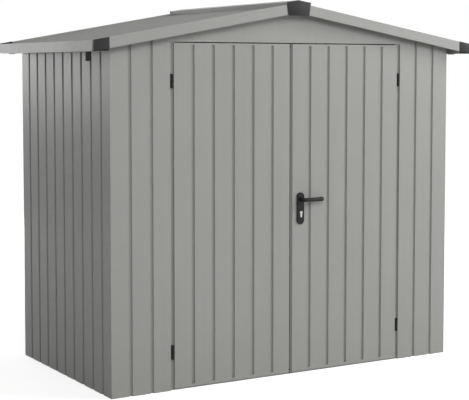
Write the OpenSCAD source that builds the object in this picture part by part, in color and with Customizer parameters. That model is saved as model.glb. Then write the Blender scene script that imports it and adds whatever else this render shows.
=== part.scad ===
// Metal tool shed: coated sheet walls with pressed grooves, low gable roof,
// gutters along the eaves, double door with a lever handle on the right leaf.
// Origin at ground level in the middle of the footprint; the doors face -Y.

/* [Walls] */
// spacing of the pressed grooves, all round
groove_pitch = 120; // [112:1:128]
// groove spacings across the front and the back, an even number
front_bays = 16; // [16:2:20]
// groove spacings along each side
side_bays = 8; // [6:1:14]
// corner of the shed to the middle of the first groove
corner_margin = 108; // [96:1:120]
// groove width at the face of the sheet
groove_w = 21; // [19:0.5:23]
// groove width at its floor
groove_floor_w = 15; // [12:0.5:17]
// groove depth
groove_depth = 9; // [7:0.5:10]
// thickness of the coated sheet
sheet_t = 0.8; // [0.6:0.1:1]

/* [Roof] */
// slope of the roof in degrees
roof_angle = 10; // [8:0.5:13]
// side wall to the outer face of the gutter
eave_overhang = 119.5; // [110:0.5:130]
// front or back wall to the face of the verge fascia
verge_overhang = 73; // [66:1:90]
// gutter top edge above the top edge of the door leaves
eave_rise = 7.5; // [4:0.5:40]
// height of the verge fascia, plumb
fascia_h = 54; // [50:1:60]
// roof sheet below the fascia top line
roof_drop = 10; // [8:1:14]
// depth of the raised verge trim
trim_d = 25; // [20:1:35]
// width of the ridge cap
ridge_cap_w = 144; // [130:2:160]
// ridge cap crown above the fascia top line
ridge_rise = 14; // [10:1:18]
// roof sheet past the side wall, over the gutter
roof_lap = 62; // [50:1:75]

/* [Caps and outlets] */
// width of the black end cap seen from the front
cap_w = 85; // [80:1:95]
// end cap past the fascia edges, above and below
cap_lip = 1.5; // [1:0.5:3]
// plate thickness of the end caps and peak caps
cap_t = 3; // [2.5:0.5:5]
// depth of the end cap skirt over the gutter face
cap_skirt_d = 18; // [12:1:30]
// thickness of the end cap skirt
cap_skirt_t = 1.5; // [1:0.5:2]
// depth of the end cap plug inside the gutter
cap_plug_d = 15; // [10:1:18]
// end cap to the end wall of the gutter
gutter_end_set = 25; // [22:1:30]
// top width of the peak cap
peak_top_w = 152; // [146:1:160]
// bottom width of the peak cap
peak_low_w = 131; // [120:1:140]
// height of the peak cap at its middle
peak_h = 78; // [72:1:84]
// fall of the peak cap top edge from the middle to its corners
peak_fall = 8; // [5:1:10]
// outside diameter of the gutter spout
spout_d = 29; // [26:1:32]
// wall thickness of the spout
spout_t = 2.5; // [2:0.5:3]
// spout below the gutter
spout_drop = 47; // [35:1:60]
// flange of the spouts and plugs past the spout
flange_w = 4; // [3:0.5:6]
// thickness of the flanges
flange_t = 3; // [2:0.5:4]
// gutter face to the middle of the outlets
outlet_set = 31; // [28:1:34]
// front or back wall to the middle of the outlets
outlet_inset = 63; // [50:1:90]

/* [Doors] */
// top edge of the door leaves
door_top = 1789.5; // [1770:0.5:1789.5]
// bottom edge of the door leaves
door_foot = 8; // [8:0.5:14]
// thickness of a door leaf
leaf_depth = 28; // [26:1:30]
// depth of the fold along the hinge edge of a leaf
edge_fold = 5; // [4:0.5:5]
// gap over the leaves
head_gap = 5.5; // [5.5:0.5:8]
// half of the slit between the leaves
half_slit = 2.75; // [2.75:0.25:4]
// grooves of a leaf start below its top edge
groove_stop_top = 10; // [8:1:20]
// grooves of a leaf end above its bottom edge
groove_stop_low = 16; // [12:1:24]
// width of the leaf frame members
leaf_bar_w = 25; // [22:1:30]
// place of the leaf middle bar between the bottom and the top edge
leaf_bar_share = 0.6; // [0.58:0.01:0.7]
// thickness of the framing profiles
bar_t = 1.5; // [1.2:0.1:2]

/* [Hinges] */
// middle of the lower hinges
hinge_low = 200; // [160:5:260]
// middle of the upper hinges
hinge_high = 1595; // [1540:5:1640]
// height of one knuckle, three to a hinge
knuckle_h = 23; // [20:1:26]
// gap between knuckles
knuckle_gap = 1.5; // [1:0.5:2]
// outside diameter of a knuckle
knuckle_d = 17; // [15:0.5:17]
// diameter of the hinge pin
pin_d = 8; // [6:0.5:9]
// running clearance of pins and lever necks, on the radius
run_clear = 0.05; // [0.03:0.01:0.1]
// hinge pin behind the wall face
pin_depth = 1; // [0.5:0.5:1.5]

/* [Lever lock] */
// meeting line to the middle of the lock
lock_x = 60; // [55:1:62]
// height of the lever spindle
spindle_z = 952; // [920:1:980]
// spindle to the lock cylinder
lock_spacing = 72; // [70:1:76]
// width of the handle plate
plate_w = 46; // [44:1:52]
// height of the handle plate
plate_h = 174; // [168:1:190]
// spindle to the upper end of the plate
plate_above = 38; // [34:1:44]
// thickness of the handle plate
plate_t = 8; // [6:0.5:10]
// lever length from the spindle to its outermost end
lever_len = 128; // [118:1:140]
// diameter of the round lever bar
lever_d = 21; // [19:0.5:22]
// bend radius of the lever at its middle line
lever_bend = 16; // [14:1:18]
// leaf face to the start of the lever bends
lever_stand = 34; // [30:1:36]
// straight end of the lever that turns back to the leaf
lever_return = 5; // [3:1:8]
// side of the square spindle
spindle_side = 8; // [7:1:9]
// diameter of the round part of the lock cylinder
cylinder_d = 17; // [16:0.5:18]
// height of the lock cylinder
cylinder_h = 33; // [31:1:35]
// width of the lower part of the lock cylinder
cylinder_low_w = 10; // [9:0.5:11]
// lock cylinder past the handle plate
cylinder_out = 5; // [3:0.5:6]

/* [Framing] */
// width of the base rails
rail_w = 50; // [45:1:60]
// height of the base rails
rail_h = 50; // [40:1:60]
// thickness of the base rails and corner posts
rail_t = 2; // [1.5:0.1:3]
// depth of the threshold
threshold_d = 50; // [46:1:60]
// height of the door stop on the threshold
stop_h = 40; // [30:1:50]
// leg of the corner posts
corner_leg = 40; // [30:1:50]
// width of the door posts
post_w = 60; // [56:1:70]
// depth of the door posts and the header
post_d = 30; // [26:1:36]
// wall face to the front of the door posts
post_set = 10.5; // [10.5:0.5:12]
// height of the header over the doors
header_h = 40; // [35:1:45]
// side of the eave rails and purlins
eave_bar = 30; // [26:1:34]
// width of the ridge beam
ridge_beam_w = 40; // [36:1:50]
// height of the ridge beam below the roof sheet
ridge_beam_h = 55; // [50:1:65]
// diameter of the anchor holes in the base rails
anchor_d = 11; // [9:0.5:13]
// anchor holes from the ends of the side rails
anchor_inset = 90; // [70:5:150]

/* [Hidden] */
$fn = 64;
overrun = 2;
leaf_bays = 6;
wall_w = front_bays * groove_pitch + 2 * corner_margin;
wall_d = side_bays * groove_pitch + 2 * corner_margin;
eave_top = door_top + eave_rise;
half_w = wall_w / 2;
half_d = wall_d / 2;
eave_x = half_w + eave_overhang;
verge_y = half_d + verge_overhang;
slope = tan(roof_angle);
sheet_v = sheet_t / cos(roof_angle);
mouth = groove_w / 2;
floor_half = groove_floor_w / 2;
groove_run = mouth - floor_half;
groove_side = sqrt(groove_run * groove_run + groove_depth * groove_depth);
fold_out = sheet_t * (groove_side - groove_run) / groove_depth;
inner_set = groove_depth + sheet_t;
ridge_half = ridge_cap_w / 2;
cap_x = eave_x - cap_w;
plate_in = verge_y - sheet_t;
gutter_z = eave_top - fascia_h;
gutter_x = eave_x - cap_skirt_t;
outlet_x = gutter_x - outlet_set;
outlet_y = half_d - outlet_inset;
hinge_x = leaf_bays * groove_pitch;
jamb_x = hinge_x + mouth;
leaf_x = hinge_x - mouth;
leaf_inner = leaf_depth - sheet_t;
stile_x = hinge_x - mouth - leaf_depth * 4 / 7;
post_out = hinge_x + post_w * 2 / 3;
post_in = post_out - post_w;
head_z = door_top + head_gap;
frame_low = door_foot + sheet_t;
frame_top = door_top - sheet_t;
leaf_bar_z = door_foot + (door_top - door_foot) * leaf_bar_share;
lock_z = spindle_z - lock_spacing;
case_low = lock_z - cylinder_h;
case_top = spindle_z + plate_above - overrun;
case_in = half_slit + sheet_t + leaf_bar_w;
case_out = lock_x + plate_w * 5 / 6;
case_back = leaf_inner - overrun;
side_rail_end = half_d - inner_set - rail_w;

// height of the fascia top line over a distance from the ridge
function verge_z(x) = eave_top + (eave_x - x) * slope;
// height of the roof sheet, upper face
function roof_z(x) = verge_z(x) - roof_drop;
// height of the roof sheet, lower face
function soffit_z(x) = roof_z(x) - sheet_v;
// face line of one groove
function groove_face(c) = [[c - mouth, 0], [c - floor_half, groove_depth],
    [c + floor_half, groove_depth], [c + mouth, 0]];
// back line of one groove, run the other way
function groove_back(c) = [[c + mouth + fold_out, sheet_t], [c + floor_half + fold_out, inner_set],
    [c - floor_half - fold_out, inner_set], [c - mouth - fold_out, sheet_t]];
// middles of a row of grooves
function groove_row(first, last) = [for (i = [first:last]) i * groove_pitch];

module block(x0, x1, y0, y1, z0, z1) {
    translate([x0, y0, z0]) cube([x1 - x0, y1 - y0, z1 - z0]);
}

// flat shape in X and Z drawn out along Y
module along_y(y0, y1) {
    translate([0, y1, 0]) rotate([90, 0, 0]) linear_extrude(y1 - y0) children();
}

// the same shape on both sides of the ridge line
module both_sides() {
    children();
    mirror([1, 0, 0]) children();
}

// the same shape at the front and at the back
module both_ends() {
    children();
    mirror([0, 1, 0]) children();
}

// room below the roof sheets
module under_roof() {
    along_y(-verge_y, verge_y) polygon([[-eave_x, -overrun], [-eave_x, soffit_z(eave_x)], [0, soffit_z(0)],
        [eave_x, soffit_z(eave_x)], [eave_x, -overrun]]);
}

// strip that follows the slope, from a height above or below the fascia top line
module slope_strip(x0, x1, low, high) {
    polygon([[-x0, verge_z(x0) + low], [-x1, verge_z(x1) + low],
        [-x1, verge_z(x1) + high], [-x0, verge_z(x0) + high]]);
}

// sheet with full height grooves, face on the X axis, back towards +Y
module grooved_sheet(u0, u1, middles, h) {
    face = [for (c = middles) each groove_face(c)];
    back = [for (i = [len(middles) - 1:-1:0]) each groove_back(middles[i])];
    linear_extrude(h) polygon(concat([[u0, 0]], face, [[u1, 0], [u1, sheet_t]], back, [[u0, sheet_t]]));
}

module threshold() {
    x = half_w - inner_set;
    y = -half_d + inner_set;
    stop_y = -half_d + leaf_depth + head_gap;
    color("lightgrey") union() {
        block(-x, x, y, y + threshold_d, 0, rail_t);
        block(-post_in, post_in, stop_y, stop_y + rail_t, 0, stop_h);
    }
}

module back_base_rail() {
    x = half_w - inner_set;
    y = half_d - inner_set;
    color("lightgrey") union() {
        block(-x, x, y - rail_w, y, 0, rail_t);
        block(-x, x, y - rail_t, y, 0, rail_h);
    }
}

module side_base_rails() {
    x = -half_w + inner_set;
    y0 = -half_d + inner_set + threshold_d;
    color("lightgrey") both_sides() difference() {
        union() {
            block(x, x + rail_w, y0, side_rail_end, 0, rail_t);
            block(x, x + rail_t, y0, side_rail_end, 0, rail_h);
        }
        for (y = [y0 + anchor_inset, side_rail_end - anchor_inset])
            translate([x + rail_w / 2, y, -overrun]) cylinder(d = anchor_d, h = rail_t + 2 * overrun);
    }
}

module corner_posts() {
    a = half_w - sheet_t;
    b = half_d - sheet_t;
    color("lightgrey") intersection() {
        both_sides() both_ends() union() {
            block(-a, -a + corner_leg, -b, -b + rail_t, 0, verge_z(0));
            block(-a, -a + rail_t, -b, -b + corner_leg, 0, verge_z(0));
        }
        under_roof();
    }
}

module front_wall_left() {
    color("silver") intersection() {
        translate([0, -half_d, 0]) union() {
            grooved_sheet(-half_w + sheet_t, -jamb_x, groove_row(-front_bays / 2, -leaf_bays - 1),
                verge_z(0));
            block(-jamb_x - sheet_t, -jamb_x, 0, post_set, rail_t, verge_z(0));
        }
        under_roof();
    }
}

module front_wall_right() {
    mirror([1, 0, 0]) front_wall_left();
}

module front_gable() {
    color("silver") intersection() {
        union() {
            block(-jamb_x, jamb_x, -half_d, -half_d + sheet_t, head_z, verge_z(0));
            block(-jamb_x, jamb_x, -half_d, -half_d + post_set, head_z, head_z + sheet_t);
        }
        under_roof();
    }
}

module left_wall() {
    color("silver") intersection() {
        translate([-half_w, 0, 0]) rotate([0, 0, -90])
            grooved_sheet(-half_d, half_d, groove_row(-side_bays / 2, side_bays / 2), verge_z(0));
        under_roof();
    }
}

module right_wall() {
    mirror([1, 0, 0]) left_wall();
}

module back_wall() {
    x = half_w - sheet_t;
    color("silver") intersection() {
        translate([0, half_d, 0]) mirror([0, 1, 0])
            grooved_sheet(-x, x, groove_row(-front_bays / 2, front_bays / 2), verge_z(0));
        under_roof();
    }
}

module door_posts() {
    y = -half_d + post_set;
    color("lightgrey") intersection() {
        both_sides() difference() {
            block(-post_out, -post_in, y, y + post_d, rail_t, ridge_z());
            block(-post_out + bar_t, -post_in - bar_t, y + bar_t, y + post_d - bar_t,
                -overrun, ridge_z() + overrun);
        }
        under_roof();
    }
}

function ridge_z() = verge_z(0);

module door_header() {
    y = -half_d + post_set;
    z = head_z + sheet_t;
    color("lightgrey") difference() {
        block(-post_in, post_in, y, y + post_d, z, z + header_h);
        block(-post_in - overrun, post_in + overrun, y + bar_t, y + post_d - bar_t,
            z + bar_t, z + header_h - bar_t);
    }
}

module eave_rails() {
    x = half_w - inner_set;
    z = soffit_z(x) - eave_bar;
    color("lightgrey") both_sides() intersection() {
        difference() {
            block(-x, -x + eave_bar, -half_d + inner_set, half_d - inner_set, z, ridge_z());
            block(-x + bar_t, -x + eave_bar - bar_t, -half_d, half_d, z + bar_t, z + eave_bar - bar_t);
        }
        under_roof();
    }
}

module ridge_beam() {
    z = soffit_z(0) - ridge_beam_h;
    color("lightgrey") intersection() {
        difference() {
            block(-ridge_beam_w / 2, ridge_beam_w / 2, -half_d + sheet_t, half_d - inner_set, z, ridge_z());
            block(-ridge_beam_w / 2 + bar_t, ridge_beam_w / 2 - bar_t, -half_d, half_d, z + bar_t,
                soffit_z(ridge_beam_w / 2) - bar_t);
        }
        under_roof();
    }
}

module purlins() {
    x = hinge_x - groove_pitch - groove_pitch / 2;
    z = soffit_z(x) - eave_bar;
    color("lightgrey") both_sides() intersection() {
        difference() {
            block(-x - eave_bar / 2, -x + eave_bar / 2, -half_d + sheet_t, half_d - sheet_t, z, ridge_z());
            block(-x - eave_bar / 2 + bar_t, -x + eave_bar / 2 - bar_t, -half_d, half_d, z + bar_t,
                soffit_z(x + eave_bar / 2) - bar_t);
        }
        under_roof();
    }
}

module roof_sheet_left() {
    color("grey") along_y(-plate_in, plate_in)
        slope_strip(half_w + roof_lap, 0, -roof_drop - sheet_v, -roof_drop);
}

module roof_sheet_right() {
    mirror([1, 0, 0]) roof_sheet_left();
}

module ridge_cap() {
    crown = ridge_z() + ridge_rise;
    edge = crown - ridge_half * slope;
    inner = ridge_half - sheet_t;
    edge_in = crown - inner * slope - sheet_v;
    color("grey") along_y(-plate_in, plate_in) polygon([[-ridge_half, roof_z(ridge_half)],
        [-ridge_half, edge], [0, crown], [ridge_half, edge], [ridge_half, roof_z(ridge_half)],
        [inner, roof_z(inner)], [inner, edge_in], [0, crown - sheet_v], [-inner, edge_in],
        [-inner, roof_z(inner)]]);
}

module front_fascia_left() {
    lip_d = trim_d / 2;
    color("silver") union() {
        along_y(-verge_y, -plate_in) slope_strip(cap_x, 0, -fascia_h, 0);
        along_y(-verge_y, -verge_y + trim_d) slope_strip(cap_x, ridge_half, -sheet_v, 0);
        along_y(-verge_y + trim_d - sheet_t, -verge_y + trim_d) slope_strip(cap_x, ridge_half, -roof_drop, 0);
        along_y(-verge_y, -verge_y + lip_d) slope_strip(cap_x, 0, -fascia_h, -fascia_h + sheet_v);
    }
}

module front_fascia_right() {
    mirror([1, 0, 0]) front_fascia_left();
}

module back_fascia_left() {
    mirror([0, 1, 0]) front_fascia_left();
}

module back_fascia_right() {
    mirror([0, 1, 0]) front_fascia_right();
}

// gutter: face, floor, rolled lip, end walls and the inner leg that hangs on the roof sheet
module gutter_left() {
    end_y = plate_in - gutter_end_set;
    color("silver") difference() {
        union() {
            both_ends() block(-gutter_x, -cap_x, -end_y, -end_y + sheet_t, gutter_z, eave_top - roof_drop);
            gutter_profile();
        }
        for (y = [-outlet_y, outlet_y]) translate([-outlet_x, y, gutter_z - overrun])
            cylinder(d = spout_d, h = sheet_t + 2 * overrun);
    }
}

module gutter_profile() {
    intersection() {
        along_y(-plate_in, plate_in) union() {
            translate([-gutter_x, gutter_z]) square([sheet_t, fascia_h]);
            translate([-gutter_x, gutter_z]) square([gutter_x - cap_x, sheet_t]);
            translate([-gutter_x, eave_top - sheet_t]) square([trim_d / 2, sheet_t]);
            translate([-cap_x - sheet_t, gutter_z]) square([sheet_t, fascia_h + cap_w]);
        }
        along_y(-verge_y, verge_y) polygon([[-eave_x, gutter_z - overrun], [-eave_x, eave_top + overrun],
            [-half_w - roof_lap, eave_top + overrun], [-half_w - roof_lap, soffit_z(half_w + roof_lap)],
            [-half_w, soffit_z(half_w)], [-half_w, gutter_z - overrun]]);
    }
}

module gutter_right() {
    mirror([1, 0, 0]) gutter_left();
}

// end cap: plate across the gutter end, plug inside the gutter and skirt over its face
module front_gutter_caps() {
    plug_x = [gutter_x - sheet_t, cap_x + sheet_t];
    plug_low = [for (x = plug_x) verge_z(x) - fascia_h + sheet_t];
    plug_top = eave_top - roof_drop - cap_lip;
    color("dimgrey") both_sides() union() {
        along_y(-plate_in - cap_t, -plate_in)
            slope_strip(eave_x, cap_x, -fascia_h - cap_lip, cap_lip);
        along_y(-plate_in - overrun, -plate_in + cap_plug_d) polygon([[-plug_x[0], plug_low[0]],
            [-plug_x[1], plug_low[1]], [-plug_x[1], plug_top], [-plug_x[0], plug_top]]);
        block(-eave_x, -gutter_x, -plate_in - overrun, -plate_in + cap_skirt_d, gutter_z - cap_lip, eave_top);
    }
}

module back_gutter_caps() {
    mirror([0, 1, 0]) front_gutter_caps();
}

module front_peak_cap() {
    top = ridge_z() + ridge_rise - cap_lip * 3;
    color("dimgrey") along_y(-verge_y - cap_t, -verge_y) polygon([[-peak_low_w / 2, top - peak_h],
        [-peak_top_w / 2, top - peak_fall], [0, top], [peak_top_w / 2, top - peak_fall],
        [peak_low_w / 2, top - peak_h]]);
}

module back_peak_cap() {
    mirror([0, 1, 0]) front_peak_cap();
}

// outlets of the left gutter, and of the right one turned half round
module at_outlets(y) {
    for (turn = [0, 180]) rotate([0, 0, turn]) translate([-outlet_x, y, 0]) children();
}

module flange() {
    translate([0, 0, gutter_z - flange_t]) cylinder(d = spout_d + 2 * flange_w, h = flange_t);
}

module gutter_spouts() {
    low = gutter_z - spout_drop;
    high = gutter_z + sheet_t + spout_t;
    color("dimgrey") at_outlets(-outlet_y) difference() {
        union() {
            translate([0, 0, low]) cylinder(d = spout_d - 2 * run_clear, h = high - low);
            flange();
        }
        translate([0, 0, low - overrun]) cylinder(d = spout_d - 2 * spout_t, h = high - low + 2 * overrun);
    }
}

module outlet_plugs() {
    low = gutter_z - flange_t;
    high = gutter_z + sheet_t + spout_t;
    color("dimgrey") at_outlets(outlet_y) union() {
        translate([0, 0, low]) cylinder(d = spout_d - 2 * run_clear, h = high - low);
        flange();
    }
}

// pin line of the left leaf
module at_left_pin() {
    translate([-hinge_x, -half_d + pin_depth, 0]) children();
}

module left_post_hinges() {
    full = 3 * knuckle_h + 2 * knuckle_gap;
    color("dimgrey") at_left_pin() for (z = [hinge_low, hinge_high]) translate([0, 0, z - full / 2])
        left_post_hinge(full);
}

module left_post_hinge(full) {
    union() {
        cylinder(d = pin_d, h = full);
        for (k = [0, full - knuckle_h]) translate([0, 0, k]) union() {
            cylinder(d = knuckle_d, h = knuckle_h);
            block(-pin_d / 2, pin_d / 2, 0, post_set - pin_depth, 0, knuckle_h);
        }
    }
}

module right_post_hinges() {
    mirror([1, 0, 0]) left_post_hinges();
}

module left_door_hinges() {
    color("dimgrey") at_left_pin() for (z = [hinge_low, hinge_high]) translate([0, 0, z - knuckle_h / 2])
        left_door_hinge();
}

module left_door_hinge() {
    difference() {
        union() {
            cylinder(d = knuckle_d, h = knuckle_h);
            block(0, mouth, 0, edge_fold - pin_depth, 0, knuckle_h);
        }
        translate([0, 0, -overrun]) cylinder(d = pin_d + 2 * run_clear, h = knuckle_h + 2 * overrun);
    }
}

module right_door_hinges() {
    mirror([1, 0, 0]) left_door_hinges();
}

// pressed groove of a leaf, outside of the pressing
module pressing(c) {
    translate([c, 0, door_foot + groove_stop_low - sheet_t])
        linear_extrude(door_top - door_foot - groove_stop_low - groove_stop_top + 2 * sheet_t)
            polygon([[-mouth - fold_out, 0], [-mouth - fold_out, sheet_t],
                [-floor_half - fold_out, inner_set],
                [floor_half + fold_out, inner_set], [mouth + fold_out, sheet_t], [mouth + fold_out, 0]]);
}

// pressed groove of a leaf, the hollow
module pressing_hollow(c) {
    translate([c, 0, door_foot + groove_stop_low])
        linear_extrude(door_top - door_foot - groove_stop_low - groove_stop_top)
            polygon([[-mouth, -overrun], [-mouth, 0], [-floor_half, groove_depth],
                [floor_half, groove_depth], [mouth, 0], [mouth, -overrun]]);
}

// fold at the meeting line, half of a groove
module meeting_fold() {
    polygon([[-mouth, 0], [-floor_half, groove_depth], [-half_slit, groove_depth], [-half_slit, inner_set],
        [-floor_half - fold_out, inner_set], [-mouth - fold_out, sheet_t], [-mouth - fold_out, 0]]);
}

module left_door_sheet() {
    middles = groove_row(-leaf_bays + 1, -1);
    color("silver") translate([0, -half_d, 0]) difference() {
        union() {
            block(-leaf_x, -mouth, 0, sheet_t, door_foot, door_top);
            block(-leaf_x, -leaf_x + sheet_t, 0, edge_fold, door_foot, door_top);
            translate([0, 0, door_foot]) linear_extrude(door_top - door_foot) meeting_fold();
            block(-half_slit - sheet_t, -half_slit, groove_depth, leaf_depth, door_foot, door_top);
            for (z = [door_foot, door_top - sheet_t]) {
                block(-leaf_x, -mouth, 0, edge_fold, z, z + sheet_t);
                block(-stile_x, -mouth, 0, leaf_depth, z, z + sheet_t);
                block(-mouth - sheet_t, -half_slit, groove_depth, leaf_depth, z, z + sheet_t);
                translate([0, 0, z]) linear_extrude(sheet_t)
                    polygon([[-mouth, 0], [-floor_half, groove_depth], [-mouth, groove_depth]]);
            }
            for (c = middles) pressing(c);
        }
        for (c = middles) pressing_hollow(c);
    }
}

module lock_cylinder_shape(grow) {
    r = cylinder_d / 2;
    union() {
        circle(r = r + grow);
        translate([-cylinder_low_w / 2 - grow, -cylinder_h + r + cylinder_low_w / 2])
            square([cylinder_low_w + 2 * grow, cylinder_h - r - cylinder_low_w / 2]);
        translate([0, -cylinder_h + r + cylinder_low_w / 2]) circle(r = cylinder_low_w / 2 + grow);
    }
}

// bores for the lever necks and the lock cylinder
module lock_bores(y0, y1) {
    translate([0, -half_d, 0]) union() {
        along_y(y0, y1) translate([lock_x, spindle_z]) circle(d = lever_d + 2 * run_clear);
        along_y(y0, y1) translate([lock_x, lock_z]) lock_cylinder_shape(run_clear);
    }
}

module right_door_sheet() {
    difference() {
        mirror([1, 0, 0]) left_door_sheet();
        lock_bores(-overrun, sheet_t + overrun);
    }
}

// channel along Z or X that is open towards the door sheet
module leaf_stile(x0, x1, y0) {
    difference() {
        block(x0, x1, y0, leaf_inner, frame_low, frame_top);
        block(x0 + bar_t, x1 - bar_t, y0 - overrun, leaf_inner - bar_t, frame_low + bar_t, frame_top - bar_t);
    }
}

module leaf_bar(z0) {
    x0 = -stile_x + leaf_bar_w - bar_t / 2;
    x1 = -half_slit - sheet_t - leaf_bar_w + bar_t / 2;
    difference() {
        block(x0, x1, inner_set, leaf_inner, z0, z0 + leaf_bar_w);
        block(x0 - overrun, x1 + overrun, inner_set - overrun, leaf_inner - bar_t,
            z0 + bar_t, z0 + leaf_bar_w - bar_t);
    }
}

module left_door_frame() {
    color("lightgrey") translate([0, -half_d, 0]) union() {
        leaf_stile(-stile_x, -stile_x + leaf_bar_w, sheet_t);
        leaf_stile(-half_slit - sheet_t - leaf_bar_w, -half_slit - sheet_t, inner_set);
        for (z = [frame_low, leaf_bar_z, frame_top - leaf_bar_w]) leaf_bar(z);
    }
}

module right_door_frame() {
    mirror([1, 0, 0]) left_door_frame();
}

module lock_case() {
    color("lightgrey") difference() {
        translate([0, -half_d, 0]) block(case_in, case_out, sheet_t, case_back, case_low, case_top);
        lock_bores(0, leaf_depth);
    }
}

module plate_shape() {
    r = plate_w / 2;
    low = spindle_z + plate_above - plate_h;
    translate([lock_x - r, low + r]) square([plate_w, plate_h - plate_w]);
    translate([lock_x, low + r]) circle(r = r);
    translate([lock_x, low + plate_h - r]) circle(r = r);
}

module outer_plate() {
    color("dimgrey") difference() {
        translate([0, -half_d, 0]) along_y(-plate_t, 0) plate_shape();
        lock_bores(-plate_t - overrun, overrun);
    }
}

module inner_plate() {
    color("dimgrey") difference() {
        translate([0, -half_d, 0]) along_y(case_back, case_back + plate_t) plate_shape();
        lock_bores(case_back - overrun, case_back + plate_t + overrun);
    }
}

module lock_cylinder() {
    slot_w = cylinder_low_w / 5;
    slot_h = cylinder_d / 2;
    ends = [-plate_t - cylinder_out, case_back + plate_t + cylinder_out];
    color("lightgrey") translate([0, -half_d, 0]) difference() {
        along_y(ends[0], ends[1]) translate([lock_x, lock_z]) lock_cylinder_shape(0);
        for (y = ends) block(lock_x - slot_w / 2, lock_x + slot_w / 2, y - cylinder_out, y + cylinder_out,
            lock_z - slot_h / 2, lock_z + slot_h / 2);
    }
}

// round lever bar: neck towards -Y, grip towards +X, end turned back to the leaf
module lever_bar(neck_in) {
    grip_end = lever_len - lever_bend - lever_d / 2;
    reach = lever_stand + lever_bend;
    along_y(-lever_stand, neck_in) circle(d = lever_d);
    translate([lever_bend, -lever_stand, 0]) rotate([0, 0, 180]) lever_bend_part();
    translate([lever_bend, -reach, 0]) rotate([0, 90, 0]) cylinder(d = lever_d, h = grip_end - lever_bend);
    translate([grip_end, -lever_stand, 0]) rotate([0, 0, 270]) lever_bend_part();
    translate([grip_end + lever_bend, 0, 0]) along_y(-lever_stand, -lever_stand + lever_return)
        circle(d = lever_d);
    translate([grip_end + lever_bend, -lever_stand + lever_return, 0]) sphere(d = lever_d);
}

module lever_bend_part() {
    rotate_extrude(angle = 90) translate([lever_bend, 0]) circle(d = lever_d);
}

module spindle_bar(y0, y1) {
    block(lock_x - spindle_side / 2, lock_x + spindle_side / 2, y0, y1,
        spindle_z - spindle_side / 2, spindle_z + spindle_side / 2);
}

module outer_lever() {
    color("dimgrey") translate([0, -half_d, 0]) difference() {
        translate([lock_x, 0, spindle_z]) lever_bar(sheet_t);
        spindle_bar(-lever_stand, leaf_depth);
    }
}

module inner_lever() {
    color("dimgrey") translate([0, -half_d, 0]) difference() {
        translate([lock_x, case_back, spindle_z]) mirror([0, 1, 0]) lever_bar(0);
        spindle_bar(0, case_back + lever_stand);
    }
}

module lever_spindle() {
    color("lightgrey") translate([0, -half_d, 0]) spindle_bar(-lever_stand, case_back + lever_stand);
}

threshold();
back_base_rail();
side_base_rails();
corner_posts();
front_wall_left();
front_wall_right();
front_gable();
left_wall();
right_wall();
back_wall();
door_posts();
door_header();
eave_rails();
ridge_beam();
purlins();
roof_sheet_left();
roof_sheet_right();
ridge_cap();
front_fascia_left();
front_fascia_right();
back_fascia_left();
back_fascia_right();
gutter_left();
gutter_right();
front_gutter_caps();
back_gutter_caps();
front_peak_cap();
back_peak_cap();
gutter_spouts();
outlet_plugs();
left_post_hinges();
right_post_hinges();
left_door_sheet();
left_door_frame();
left_door_hinges();
right_door_sheet();
right_door_frame();
right_door_hinges();
lock_case();
outer_plate();
inner_plate();
lock_cylinder();
outer_lever();
inner_lever();
lever_spindle();
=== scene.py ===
"""Looks of the metal tool shed: finishes, fittings, fasteners, light and camera."""

from __future__ import annotations

import logging
import math
from dataclasses import dataclass, field
from enum import Enum

import bmesh
import bpy
from mathutils import Matrix, Vector


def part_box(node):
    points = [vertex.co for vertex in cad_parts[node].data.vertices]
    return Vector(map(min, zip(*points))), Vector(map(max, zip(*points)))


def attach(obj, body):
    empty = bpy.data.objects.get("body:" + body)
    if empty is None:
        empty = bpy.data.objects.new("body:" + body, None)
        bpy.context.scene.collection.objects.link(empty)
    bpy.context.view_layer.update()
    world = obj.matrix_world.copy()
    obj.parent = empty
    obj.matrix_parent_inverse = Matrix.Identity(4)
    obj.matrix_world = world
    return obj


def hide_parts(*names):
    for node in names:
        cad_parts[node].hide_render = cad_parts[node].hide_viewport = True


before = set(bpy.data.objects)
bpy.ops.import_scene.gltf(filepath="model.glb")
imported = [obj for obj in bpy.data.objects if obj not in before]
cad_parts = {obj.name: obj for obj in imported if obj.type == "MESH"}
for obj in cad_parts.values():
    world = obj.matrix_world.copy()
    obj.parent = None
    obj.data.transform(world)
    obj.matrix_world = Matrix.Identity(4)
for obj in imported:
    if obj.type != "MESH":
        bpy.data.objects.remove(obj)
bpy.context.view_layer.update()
LOG = logging.getLogger("shed")
MM = 0.001
# Points that lie nearer than this are one point, in a new mesh and in a copied CAD mesh.
WELD = 0.001 * MM
CAD_WELD = 0.01 * MM
# Faces that turn by less than the first angle are one flat, and by more than the second an edge.
FLAT_DEG = 1.0
SHARP_DEG = 40.0
# Fullness of an eased edge, where 0.5 is a circle.
EASE_PROFILE = 0.6
GROOVE_PITCH = 120.0 * MM
WHITE = (1.0, 1.0, 1.0, 1.0)
Point2 = tuple[float, float]
Point3 = tuple[float, float, float]
Spot = tuple[Point3, Point3]
Colour = tuple[float, float, float]
Socket = bpy.types.NodeSocket
BMesh = bmesh.types.BMesh


class Slot(Enum):
    """Material slots of the record."""

    SHEET = "coated_sheet"
    ROOF = "coated_roof"
    ZINC = "zinc_framing"
    PLASTIC = "black_plastic"
    HARDWARE = "black_hardware"
    NICKEL = "nickel"


class Body(Enum):
    """Bodies that move on their own."""

    SHED = "shed"
    LEFT_DOOR = "left_door"
    RIGHT_DOOR = "right_door"
    LEVER = "lever"


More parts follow.
